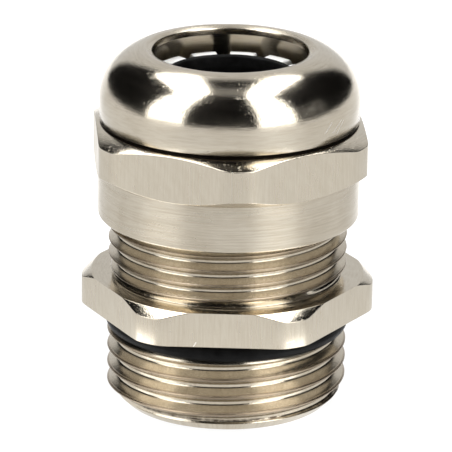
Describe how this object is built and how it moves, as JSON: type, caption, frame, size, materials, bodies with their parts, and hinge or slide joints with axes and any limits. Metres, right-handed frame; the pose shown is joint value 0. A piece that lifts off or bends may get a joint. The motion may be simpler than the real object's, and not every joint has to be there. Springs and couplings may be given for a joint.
{
  "type": "cable gland",
  "caption": "Upright cable gland in nickel-plated brass: domed hexagon cap nut, clamping fingers, rubber seal, hexagon body, connection thread and O-ring.",
  "frame": {"origin": "centre of the connection thread's end face, at the bottom of the object", "axes": "+Z along the cable passage, from the connection thread towards the cap nut; +Y square to a flat of the body's hexagon"},
  "size_m": [0.0242, 0.0242, 0.0301],
  "materials": {
    "nickel_brass": "nickel plated, turned and milled, satin",
    "grey_polyamide": "moulded, matt",
    "black_rubber": "smooth, slightly glossy"
  },
  "bodies": {
    "gland": {"gland_body": "nickel_brass", "connection_o_ring": "black_rubber"},
    "cage": {"clamping_cage_ring": "grey_polyamide", "sealing_insert": "black_rubber"},
    "cap": {"cap_nut": "nickel_brass"},
    "finger_01": {"clamp_finger_01": "grey_polyamide"},
    "finger_02": {"clamp_finger_02": "grey_polyamide"},
    "finger_03": {"clamp_finger_03": "grey_polyamide"},
    "finger_04": {"clamp_finger_04": "grey_polyamide"},
    "finger_05": {"clamp_finger_05": "grey_polyamide"},
    "finger_06": {"clamp_finger_06": "grey_polyamide"},
    "finger_07": {"clamp_finger_07": "grey_polyamide"},
    "finger_08": {"clamp_finger_08": "grey_polyamide"},
    "finger_09": {"clamp_finger_09": "grey_polyamide"},
    "finger_10": {"clamp_finger_10": "grey_polyamide"},
    "finger_11": {"clamp_finger_11": "grey_polyamide"},
    "finger_12": {"clamp_finger_12": "grey_polyamide"}
  },
  "joints": [
    {"name": "cap_turn", "type": "hinge", "parent": "gland", "child": "cage", "pos_m": [0, 0, 0.0205], "axis": [0, 0, 1], "range_deg": [-720, 0], "deforming": ["sealing_insert"]},
    {"name": "cap_travel", "type": "slide", "parent": "cage", "child": "cap", "axis": [0, 0, 1], "range_m": [-0.0025, 0]},
    {"name": "finger_fold_01", "type": "hinge", "parent": "cage", "child": "finger_01", "pos_m": [0.00734, 0.00306, 0.022], "axis": [0.3851, -0.9229, 0], "range_deg": [0, 10]},
    {"name": "finger_fold_02", "type": "hinge", "parent": "cage", "child": "finger_02", "pos_m": [0.00482, 0.00632, 0.022], "axis": [0.7949, -0.6067, 0], "range_deg": [0, 10]},
    {"name": "finger_fold_03", "type": "hinge", "parent": "cage", "child": "finger_03", "pos_m": [0.00102, 0.00788, 0.022], "axis": [0.9918, -0.1279, 0], "range_deg": [0, 10]},
    {"name": "finger_fold_04", "type": "hinge", "parent": "cage", "child": "finger_04", "pos_m": [-0.00306, 0.00734, 0.022], "axis": [0.9229, 0.3851, 0], "range_deg": [0, 10]},
    {"name": "finger_fold_05", "type": "hinge", "parent": "cage", "child": "finger_05", "pos_m": [-0.00632, 0.00482, 0.022], "axis": [0.6067, 0.7949, 0], "range_deg": [0, 10]},
    {"name": "finger_fold_06", "type": "hinge", "parent": "cage", "child": "finger_06", "pos_m": [-0.00788, 0.00102, 0.022], "axis": [0.1279, 0.9918, 0], "range_deg": [0, 10]},
    {"name": "finger_fold_07", "type": "hinge", "parent": "cage", "child": "finger_07", "pos_m": [-0.00734, -0.00306, 0.022], "axis": [-0.3851, 0.9229, 0], "range_deg": [0, 10]},
    {"name": "finger_fold_08", "type": "hinge", "parent": "cage", "child": "finger_08", "pos_m": [-0.00482, -0.00632, 0.022], "axis": [-0.7949, 0.6067, 0], "range_deg": [0, 10]},
    {"name": "finger_fold_09", "type": "hinge", "parent": "cage", "child": "finger_09", "pos_m": [-0.00102, -0.00788, 0.022], "axis": [-0.9918, 0.1279, 0], "range_deg": [0, 10]},
    {"name": "finger_fold_10", "type": "hinge", "parent": "cage", "child": "finger_10", "pos_m": [0.00306, -0.00734, 0.022], "axis": [-0.9229, -0.3851, 0], "range_deg": [0, 10]},
    {"name": "finger_fold_11", "type": "hinge", "parent": "cage", "child": "finger_11", "pos_m": [0.00632, -0.00482, 0.022], "axis": [-0.6067, -0.7949, 0], "range_deg": [0, 10]},
    {"name": "finger_fold_12", "type": "hinge", "parent": "cage", "child": "finger_12", "pos_m": [0.00788, -0.00102, 0.022], "axis": [-0.1279, -0.9918, 0], "range_deg": [0, 10]}
  ],
  "couplings": [
    {"joint": "cap_travel", "follows": "cap_turn", "m_per_rad": 0.00019894},
    {"joint": "finger_fold_01", "follows": "cap_turn", "ratio": -0.013889},
    {"joint": "finger_fold_02", "follows": "cap_turn", "ratio": -0.013889},
    {"joint": "finger_fold_03", "follows": "cap_turn", "ratio": -0.013889},
    {"joint": "finger_fold_04", "follows": "cap_turn", "ratio": -0.013889},
    {"joint": "finger_fold_05", "follows": "cap_turn", "ratio": -0.013889},
    {"joint": "finger_fold_06", "follows": "cap_turn", "ratio": -0.013889},
    {"joint": "finger_fold_07", "follows": "cap_turn", "ratio": -0.013889},
    {"joint": "finger_fold_08", "follows": "cap_turn", "ratio": -0.013889},
    {"joint": "finger_fold_09", "follows": "cap_turn", "ratio": -0.013889},
    {"joint": "finger_fold_10", "follows": "cap_turn", "ratio": -0.013889},
    {"joint": "finger_fold_11", "follows": "cap_turn", "ratio": -0.013889},
    {"joint": "finger_fold_12", "follows": "cap_turn", "ratio": -0.013889}
  ]
}
